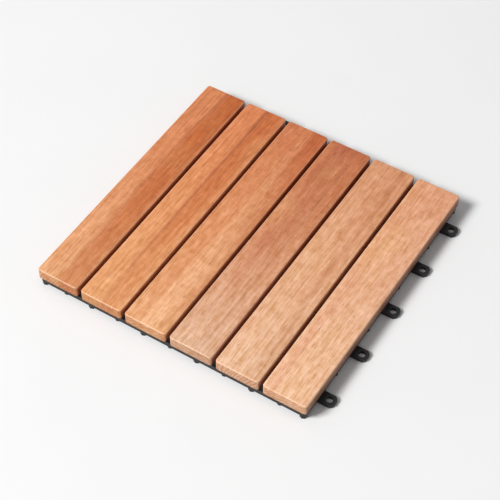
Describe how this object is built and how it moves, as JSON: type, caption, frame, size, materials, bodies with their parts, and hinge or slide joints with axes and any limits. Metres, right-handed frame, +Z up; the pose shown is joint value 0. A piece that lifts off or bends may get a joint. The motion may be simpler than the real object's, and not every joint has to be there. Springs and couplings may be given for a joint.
{
  "type": "interlocking deck tile",
  "caption": "Square outdoor deck tile: parallel hardwood slats screwed to a black plastic lattice base with joining loops and pegs.",
  "frame": {"origin": "middle of the tile on the floor, at the sole of the middle foot", "axes": "+Z up through the slats, slats run along Y, joining loops stand out at +X and +Y"},
  "size_m": [0.3135, 0.3135, 0.022],
  "materials": {
    "base_plastic": "satin black, moulded",
    "screw_steel": "plain stainless",
    "wood_1": "oiled, light orange brown",
    "wood_2": "oiled, orange brown with a dark streak",
    "wood_3": "oiled, light orange",
    "wood_4": "oiled, pinkish brown",
    "wood_5": "oiled, light tan",
    "wood_6": "oiled, pale pinkish tan"
  },
  "bodies": {
    "root": {"base": "base_plastic", "slat_screws": "screw_steel", "slat_1": "wood_1", "slat_2": "wood_2", "slat_3": "wood_3", "slat_4": "wood_4", "slat_5": "wood_5", "slat_6": "wood_6"}
  },
  "joints": []
}
